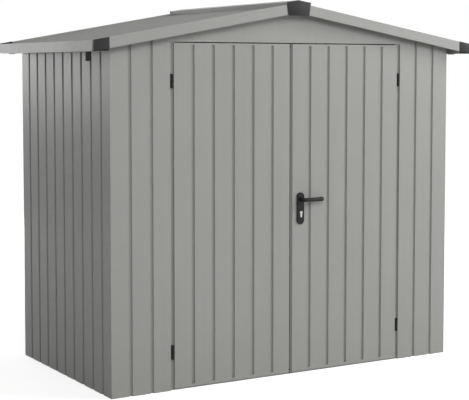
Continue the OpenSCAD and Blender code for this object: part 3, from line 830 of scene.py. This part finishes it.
@dataclass
class Fasteners:
    """Screws, rivets and buffers of the framing, the leaves and the lock."""

    seed: int = 7
    flange_sides: int = 12
    crease_deg: float = 30.0
    rows: tuple[float, ...] = (0.12, 0.44, 0.76, 1.08, 1.40, 1.70)
    profile: float = 2.0 * MM
    corner_leg: float = 26.0 * MM
    base_lift: float = 32.0 * MM
    eave_bar: float = 30.0 * MM
    back_grooves: tuple[int, ...] = (-7, -5, -3, -1, 1, 3, 5, 7)
    base_grooves: tuple[int, ...] = (-3, -1, 1, 3)
    eave_grooves: tuple[int, ...] = (-4, -2, 0, 2, 4)
    post_inset: float = 30.0 * MM
    header_places: tuple[float, ...] = (-0.54, -0.18, 0.18, 0.54)
    rivet_edge: float = 12.5 * MM
    rivet_beside: float = 38.0 * MM
    middle_bar: float = 0.6
    buffer_inset: float = 3.3 * MM
    buffer_depth: float = 9.0 * MM
    buffer_ends: Point2 = (17.0 * MM, 15.5 * MM)
    plate_inset: float = 11.0 * MM
    bench: NodeBench = field(init=False)

    def build(self) -> None:
        """Grow the fasteners of each body."""
        self.bench = self.tree()
        framing = self.corner_spots() + self.rail_spots() + self.post_spots()
        self.group(HEX_SCREW, ZINC, Body.SHED, framing)
        self.group(POP_RIVET, ZINC, Body.LEFT_DOOR, self.frame_spots("left_door_frame"))
        self.group(POP_RIVET, ZINC, Body.RIGHT_DOOR, self.frame_spots("right_door_frame"))
        self.group(EDGE_BUFFER, LOCK_BLACK, Body.LEFT_DOOR, self.edge_spots())
        self.group(PLATE_SCREW, LOCK_BLACK, Body.RIGHT_DOOR, self.plate_spots())

    def corner_spots(self) -> list[Spot]:
        """Place the screws on both legs of the corner posts.

        Returns:
            The spots.
        """
        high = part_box("corner_posts")[1]
        leg, thick = self.corner_leg, self.profile
        return [spot for x in (-1.0, 1.0) for y in (-1.0, 1.0) for z in self.rows for spot in (
            ((x * (high.x - leg), y * (high.y - thick), z), (0.0, -y, 0.0)),
            ((x * (high.x - thick), y * (high.y - leg), z), (-x, 0.0, 0.0)))]

    def rail_spots(self) -> list[Spot]:
        """Place the screws of the base and eave rails, at the grooves that touch them.

        Returns:
            The spots.
        """
        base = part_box("side_base_rails")[1]
        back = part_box("back_base_rail")[1]
        low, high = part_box("eave_rails")
        level = low.z + self.eave_bar / 2
        spots = [((GROOVE_PITCH * i, back.y - self.profile, self.base_lift), (0.0, -1.0, 0.0))
                 for i in self.back_grooves]
        for x in (-1.0, 1.0):
            spots += [((x * (base.x - self.profile), GROOVE_PITCH * i, self.base_lift),
                       (-x, 0.0, 0.0)) for i in self.base_grooves]
            spots += [((x * (high.x - self.eave_bar), GROOVE_PITCH * i, level), (-x, 0.0, 0.0))
                      for i in self.eave_grooves]
        return spots

    def post_spots(self) -> list[Spot]:
        """Place the screws on the room side of the door posts and the header.

        Returns:
            The spots.
        """
        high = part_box("door_posts")[1]
        low_bar, high_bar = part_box("door_header")
        level = (low_bar.z + high_bar.z) / 2
        spots = [((x * (high.x - self.post_inset), high.y, z), (0.0, 1.0, 0.0))
                 for x in (-1.0, 1.0) for z in self.rows]
        return spots + [((x, high_bar.y, level), (0.0, 1.0, 0.0)) for x in self.header_places]

    def frame_spots(self, node: str) -> list[Spot]:
        """Place the rivets at the joints of one leaf frame.

        Args:
            node: CAD node of the frame.

        Returns:
            The spots.
        """
        low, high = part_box(node)
        half, beside = self.rivet_edge, self.rivet_beside
        bars = (low.z + half, low.z + (high.z - low.z) * self.middle_bar + half, high.z - half)
        edges = (low.x + half, low.x + beside, high.x - beside, high.x - half)
        return [((x, high.y, z), (0.0, 1.0, 0.0)) for x in edges for z in bars]

    def edge_spots(self) -> list[Spot]:
        """Place the black buffers in the meeting fold of the left leaf.

        Returns:
            The spots.
        """
        low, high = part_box("left_door_sheet")
        foot, head = self.buffer_ends
        return [((high.x - self.buffer_inset, low.y + self.buffer_depth, z), (0.0, -1.0, 0.0))
                for z in (low.z + foot, high.z - head)]

    def plate_spots(self) -> list[Spot]:
        """Place the screws of the inner handle plate.

        Returns:
            The spots.
        """
        low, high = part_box("inner_plate")
        mid = (low.x + high.x) / 2
        return [((mid, high.y, z), (0.0, 1.0, 0.0))
                for z in (low.z + self.plate_inset, high.z - self.plate_inset)]

    def group(self, kind: Fastener, finish: Finish, body: Body, spots: list[Spot]) -> None:
        """Grow one kind of fastener on one body.

        Args:
            kind: Head sizes.
            finish: Finish of the heads.
            body: Body that carries them.
            spots: Place and outward direction of each.
        """
        seed = bpy.data.meshes.new(kind.name)
        seed.from_pydata([place for place, _ in spots], [], [])
        axes = seed.attributes.new("axis", "FLOAT_VECTOR", "POINT")
        axes.data.foreach_set("vector", [part for _, axis in spots for part in axis])
        sizes = {"Flange": kind.flange, "Flange Height": kind.flange_height, "Head": kind.head,
                 "Crown": kind.crown, "Height": kind.height, "Sides": kind.sides,
                 "Seed": self.seed, "Finish": finish.material()}
        made = grow(f"{body.value}_{kind.name}s", self.bench, seed, sizes)
        made.data.set_sharp_from_angle(angle=math.radians(self.crease_deg))
        settle(made, body)

    def tree(self) -> NodeBench:
        """Build the tree: one head on each point, turned to its axis.

        Returns:
            Bench over the tree.
        """
        lengths = ("Flange", "Flange Height", "Head", "Crown", "Height")
        labels = {**dict.fromkeys(lengths, "Float"), "Sides": "Int", "Seed": "Int"}
        bench = start_tree("fastener_row", labels)
        given = bench.add("NodeGroupInput").outputs
        disc = {"Vertices": self.flange_sides, "Radius": given["Flange"],
                "Depth": given["Flange Height"]}
        flange = bench.add("GeometryNodeMeshCylinder", disc).outputs[0]
        lift = bench.vector(z=bench.calc(given["Flange Height"], 0.5, "MULTIPLY"))
        lifted = bench.add("GeometryNodeTransform", {"Geometry": flange, "Translation": lift})
        cone = {"Vertices": given["Sides"], "Radius Top": given["Crown"],
                "Radius Bottom": given["Head"], "Depth": given["Height"]}
        head = bench.add("GeometryNodeMeshCone", cone).outputs[0]
        above = bench.vector(z=given["Flange Height"])
        raised = bench.add("GeometryNodeTransform", {"Geometry": head, "Translation": above})
        both = bench.add("GeometryNodeJoinGeometry", {0: lifted.outputs[0]})
        bench.feed(both, {0: raised.outputs[0]})
        axis = bench.add("GeometryNodeInputNamedAttribute", {"Name": "axis"},
                         data_type="FLOAT_VECTOR").outputs[0]
        upright = bench.add("FunctionNodeAlignRotationToVector", {"Vector": axis}, axis="Z")
        chance = bench.add("FunctionNodeRandomValue", {"Seed": given["Seed"]}, data_type="FLOAT")
        angle = bench.calc(chance.outputs["Value"], math.tau, "MULTIPLY")
        spin = bench.add("FunctionNodeAxisAngleToRotation",
                         {"Axis": (0.0, 0.0, 1.0), "Angle": angle})
        turned = bench.add("FunctionNodeRotateRotation",
                           {"Rotation": upright.outputs[0], "Rotate By": spin.outputs[0]},
                           rotation_space="LOCAL")
        heads = {"Points": given["Geometry"], "Instance": both.outputs[0],
                 "Rotation": turned.outputs[0]}
        placed = bench.add("GeometryNodeInstanceOnPoints", heads).outputs[0]
        end_tree(bench, placed, given["Finish"])
        return bench


@dataclass
class CoatedShell:
    """Sheets, profiles and rails that keep their CAD shape and get a finish."""

    walls: tuple[str, ...] = ("front_gable", "left_door_sheet", "right_door_sheet",
                              "gutter_left", "gutter_right")
    trims: tuple[str, ...] = ("front_fascia_left", "front_fascia_right", "back_fascia_left",
                              "back_fascia_right", "ridge_cap", "door_posts", "door_header")
    roof: tuple[str, ...] = ("roof_sheet_left", "roof_sheet_right")
    framing: tuple[str, ...] = ("threshold", "back_base_rail", "side_base_rails", "corner_posts",
                                "eave_rails", "ridge_beam", "purlins", "left_door_frame",
                                "right_door_frame", "lock_case", "lever_spindle")

    def dress(self) -> None:
        """Give every node of the shell its finish."""
        for finish, nodes in ((WALL_COAT, self.walls), (SHADED_TRIM_COAT, self.trims),
                              (ROOF_COAT, self.roof), (ZINC, self.framing)):
            for node in nodes:
                self.coat(node, finish)

    def coat(self, node: str, finish: Finish) -> None:
        """Put a finish on a CAD node.

        Args:
            node: Name of the node.
            finish: Finish to use.
        """
        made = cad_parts[node]
        made.data.materials.clear()
        made.data.materials.append(finish.material())
        LOG.info("%s: coated with %s", node, finish.name)


@dataclass
class HandleSet:
    """Lever handles, plates and lock cylinder of the right leaf."""

    rim: float = 2.5 * MM
    bore: float = 10.6 * MM
    end_steps: int = 24
    bore_steps: int = 36
    cylinder_rim: float = 0.8 * MM
    cylinder_waist: float = 10.0 / 17.0
    cylinder_steps: int = 28
    key_slot_halves: Point2 = (1.0 * MM, 4.2 * MM)
    lever_radius: float = 10.5 * MM
    lever_bend: float = 16.0 * MM
    lever_return: float = 5.0 * MM
    lever_swell: float = 1.4 * MM
    lever_crease_deg: float = 50.0
    bend_steps: int = 12
    tip_steps: int = 7
    tip_deg: float = 88.0
    lever_height: float = field(init=False)

    def __post_init__(self) -> None:
        """Take the spindle height from the frame."""
        self.lever_height = middle("lever_spindle").z

    def build(self) -> None:
        """Build the plates, the levers and the cylinder."""
        self.plate("outer_plate", True)
        self.plate("inner_plate", False)
        self.cylinder()
        self.lever("outer_lever", -1.0)
        self.lever("inner_lever", 1.0)

    def plate(self, node: str, near_is_low: bool) -> None:
        """Build one long plate with round ends and an eased rim.

        Args:
            node: CAD node that it stands for.
            near_is_low: True where the seen face has the lower Y.
        """
        low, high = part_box(node)
        mid, half = (low.x + high.x) / 2, (high.x - low.x) / 2
        outline = arc((mid, high.z - half), half, 0.0, 180.0, self.end_steps)
        outline += arc((mid, low.z + half), half, 180.0, 360.0, self.end_steps)
        last = 360.0 - 360.0 / self.bore_steps
        hole = arc((mid, self.lever_height), self.bore, 0.0, last, self.bore_steps - 1)
        near, far = (low.y, high.y) if near_is_low else (high.y, low.y)
        mesh = bmesh.new()
        prism(mesh, outline, hole, near, far, self.rim)
        Piece(node + "_cast", mesh, LOCK_BLACK, Body.RIGHT_DOOR, (node,)).place()

    def cylinder(self) -> None:
        """Build the lock cylinder with its key slot."""
        low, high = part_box("lock_cylinder")
        mid, radius = (low.x + high.x) / 2, (high.x - low.x) / 2
        slim = radius * self.cylinder_waist
        eye = high.z - radius
        join = math.degrees(math.asin(slim / radius))
        outline = arc((mid, eye), radius, -90.0 + join, 270.0 - join, self.cylinder_steps)
        outline += arc((mid, low.z + slim), slim, 180.0, 360.0, self.cylinder_steps // 2)
        wide, tall = self.key_slot_halves
        slot = [(mid + x * wide, eye + z * tall) for x, z in ((-1, -1), (1, -1), (1, 1), (-1, 1))]
        mesh = bmesh.new()
        prism(mesh, outline, slot, low.y, high.y, self.cylinder_rim)
        Piece("lock_cylinder_body", mesh, NICKEL, Body.RIGHT_DOOR, ("lock_cylinder",)).place()

    def lever(self, node: str, out: float) -> None:
        """Build one lever: neck, bend, grip and turned-back end.

        Args:
            node: CAD node that it stands for.
            out: Sign of Y that points away from the leaf.
        """
        low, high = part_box(node)
        near, reach = (low.y, high.y) if out > 0 else (high.y, low.y)
        neck_x = low.x + self.lever_radius
        tip_x = high.x - self.lever_radius
        bend, level = self.lever_bend, self.lever_height
        grip_y = reach - out * self.lever_radius
        path = [Vector((neck_x, near, level))]
        quarter = [math.radians(90.0 * i / self.bend_steps) for i in range(self.bend_steps + 1)]
        path += [Vector((neck_x + bend * (1 - math.cos(angle)),
                         grip_y - out * bend * (1 - math.sin(angle)), level)) for angle in quarter]
        path += [Vector((tip_x - bend * (1 - math.sin(angle)),
                         grip_y - out * bend * (1 - math.cos(angle)), level)) for angle in quarter]
        last = path[-1] - Vector((0.0, out * self.lever_return, 0.0))
        path.append(last)
        span = tip_x - neck_x
        radii = [self.lever_radius + self.lever_swell * max(0.0, (point.x - neck_x) / span)
                 for point in path]
        tip = [math.radians(self.tip_deg * i / self.tip_steps)
               for i in range(1, self.tip_steps + 1)]
        end = radii[-1]
        path += [last - Vector((0.0, out * end * math.sin(angle), 0.0)) for angle in tip]
        radii += [end * math.cos(angle) for angle in tip]
        mesh = bmesh.new()
        tube(mesh, path, radii)
        Piece(node + "_bar", mesh, LOCK_BLACK, Body.LEVER, (node,), self.lever_crease_deg).place()


@dataclass
class Hinges:
    """Hinge knuckles with eased ends and a turned neck, on the door posts and on the leaves.

    The barrel is given as the shares of the radius between which a point belongs to it.
    """

    ease: float = 0.9 * MM
    knuckle: float = 23.0 * MM
    gap: float = 1.5 * MM
    neck: float = 2.0 * MM
    sink: float = 2.2 * MM
    barrel: Point2 = (0.8, 1.02)

    def build(self) -> None:
        """Build the hinge halves of the shed and of both leaves."""
        near = self.knuckle / 2
        far = near + 2 * (self.knuckle + self.gap)
        for node, body, offsets in (("left_post_hinges", Body.SHED, (near, far)),
                                    ("right_post_hinges", Body.SHED, (near, far)),
                                    ("left_door_hinges", Body.LEFT_DOOR, (near,)),
                                    ("right_door_hinges", Body.RIGHT_DOOR, (near,))):
            low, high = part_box(node)
            mesh = eased_copy(node, self.ease)
            for offset in offsets:
                for level in (low.z + offset, high.z - offset):
                    self.turn_neck(mesh, node, level)
            Piece(node + "_turned", mesh, LOCK_BLACK, body, (node,), SHARP_DEG).place()

    def turn_neck(self, mesh: BMesh, node: str, level: float) -> None:
        """Turn a neck into one knuckle.

        Args:
            mesh: Mesh of the hinge halves.
            node: CAD node, which gives the pin line.
            level: Height of the neck.
        """
        low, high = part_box("left_post_hinges" if node.startswith("left") else "right_post_hinges")
        radius = (high.x - low.x) / 2
        axis = Vector((low.x + radius, low.y + radius, 0.0))
        inner, outer = (share * radius for share in self.barrel)
        for height in (level - self.neck, level, level + self.neck):
            bmesh.ops.bisect_plane(mesh, geom=mesh.verts[:] + mesh.edges[:] + mesh.faces[:],
                                   dist=WELD, plane_co=(0.0, 0.0, height),
                                   plane_no=(0.0, 0.0, 1.0))
        for vert in mesh.verts:
            away = Vector((vert.co.x, vert.co.y, 0.0)) - axis
            if abs(vert.co.z - level) < CAD_WELD and inner < away.length < outer:
                vert.co -= away.normalized() * self.sink


@dataclass
class RoofCaps:
    """Black end caps, peak caps, spouts and plugs of the roof edge."""

    ease: float = 0.6 * MM
    nodes: tuple[str, ...] = ("front_gutter_caps", "back_gutter_caps", "front_peak_cap",
                              "back_peak_cap", "gutter_spouts", "outlet_plugs")

    def build(self) -> None:
        """Build the eased caps."""
        for node in self.nodes:
            mesh = eased_copy(node, self.ease)
            Piece(node + "_eased", mesh, CAP_PLASTIC, Body.SHED, (node,), SHARP_DEG).place()


@dataclass(frozen=True)
class Softbox:
    """One rectangular lamp: its place, the point it faces, its size and its power in watts."""

    name: str
    place: Point3
    target: Point3
    size: Point2
    power: float

    def light(self) -> None:
        """Put the lamp into the scene."""
        data = bpy.data.lights.new(self.name, "AREA")
        data.shape = "RECTANGLE"
        data.size, data.size_y = self.size
        data.energy = self.power
        made = bpy.data.objects.new(self.name, data)
        made.location = self.place
        aim = Vector(self.target) - Vector(self.place)
        made.rotation_euler = aim.to_track_quat("-Z", "Y").to_euler()
        bpy.context.scene.collection.objects.link(made)


SOFTBOXES = (
    Softbox("key_softbox", (5.3, -4.3, 5.2), (0.0, -0.6, 0.2), (3.0, 3.0), 260.0),
    Softbox("fill_softbox", (-2.6, -6.9, 4.0), (0.0, -0.6, 0.1), (2.6, 2.0), 212.0),
    Softbox("side_softbox", (4.9, -4.4, 2.5), (1.0, -0.6, 1.5), (2.4, 2.4), 116.0),
    Softbox("left_softbox", (-3.4, 6.0, 2.15), (-1.07, 0.0, 1.6), (1.8, 1.7), 43.0),
    Softbox("back_softbox", (-0.2, 7.2, 1.4), (0.0, 0.6, 0.95), (3.0, 2.0), 210.0),
    Softbox("top_softbox", (0.3, 0.6, 7.2), (0.0, 0.2, 2.0), (3.0, 3.0), 84.0),
)


@dataclass
class Studio:
    """Floor, world, lamps and camera."""

    camera_place: Point3 = (-3.7903, -6.4252, 1.6627)
    camera_yaw: float = 30.498
    camera_pitch: float = -3.77
    camera_lens: float = 99.42
    camera_sensor: float = 36.0
    camera_shift: float = -0.10
    ambient: float = 0.07
    floor_size: float = 60.0
    floor_tone: Colour = (0.70, 0.70, 0.70)
    floor_glow: Point2 = (0.70, 1.0)
    floor_reach: Point2 = (2.0, 6.0)
    lamps: tuple[Softbox, ...] = SOFTBOXES

    def build(self) -> None:
        """Set the whole studio."""
        bpy.context.scene.view_settings.view_transform = "Standard"
        self.world()
        self.floor()
        for lamp in self.lamps:
            lamp.light()
        self.camera()

    def rays(self, bench: NodeBench) -> Socket:
        """Share of rays that show the white background.

        Args:
            bench: Bench over a node tree.

        Returns:
            1 for camera, glossy and transmission rays, else 0.
        """
        path = bench.add("ShaderNodeLightPath").outputs
        seen = bench.calc(path["Is Camera Ray"], path["Is Glossy Ray"], "MAXIMUM")
        return bench.calc(seen, path["Is Transmission Ray"], "MAXIMUM")

    def world(self) -> None:
        """Set a white background that lights at a plain level."""
        world = bpy.data.worlds.new("studio")
        bpy.context.scene.world = world
        world.use_nodes = True
        bench = NodeBench(world.node_tree)
        dim, white = (bench.add("ShaderNodeBackground", {"Color": WHITE, "Strength": strength})
                      for strength in (self.ambient, 1.0))
        mix = bench.add("ShaderNodeMixShader",
                        {0: self.rays(bench), 1: dim.outputs[0], 2: white.outputs[0]})
        bench.add("ShaderNodeOutputWorld", {"Surface": mix.outputs[0]})

    def floor(self) -> None:
        """Lay a pale floor that keeps the shadow."""
        mesh = bmesh.new()
        half = self.floor_size / 2
        mesh.faces.new([mesh.verts.new((x * half, y * half, 0.0))
                        for x, y in ((-1, -1), (1, -1), (1, 1), (-1, 1))])
        data = bpy.data.meshes.new("floor")
        mesh.to_mesh(data)
        mesh.free()
        material = bpy.data.materials.new("studio_floor")
        material.use_nodes = True
        bench = NodeBench(material.node_tree)
        matt = bench.add("ShaderNodeBsdfDiffuse", {"Color": (*self.floor_tone, 1.0)})
        place = bench.add("ShaderNodeTexCoord").outputs["Object"]
        away = bench.add("ShaderNodeVectorMath", {0: place}, operation="LENGTH").outputs["Value"]
        white = bench.spread(away, *self.floor_glow, *self.floor_reach)
        strength = bench.calc(self.rays(bench), white, "MULTIPLY")
        glow = bench.add("ShaderNodeEmission", {"Strength": strength})
        both = bench.add("ShaderNodeAddShader", {0: matt.outputs[0], 1: glow.outputs[0]})
        bench.add("ShaderNodeOutputMaterial", {"Surface": both.outputs[0]})
        data.materials.append(material)
        made = bpy.data.objects.new("floor", data)
        bpy.context.scene.collection.objects.link(made)

    def camera(self) -> None:
        """Set the camera at the photograph's place."""
        data = bpy.data.cameras.new("camera")
        data.sensor_width = self.camera_sensor
        data.lens = self.camera_lens
        data.shift_y = self.camera_shift
        made = bpy.data.objects.new("camera", data)
        made.location = self.camera_place
        tilt = math.radians(90.0 + self.camera_pitch)
        made.rotation_euler = (tilt, 0.0, -math.radians(self.camera_yaw))
        bpy.context.scene.collection.objects.link(made)
        bpy.context.scene.camera = made


def main() -> None:
    """Build the shed's looks in order."""
    logging.basicConfig(level=logging.INFO, format="%(message)s")
    GroovedWalls().build()
    CoatedShell().dress()
    HandleSet().build()
    Hinges().build()
    RoofCaps().build()
    Fasteners().build()
    Studio().build()


if __name__ == "__main__":
    main()
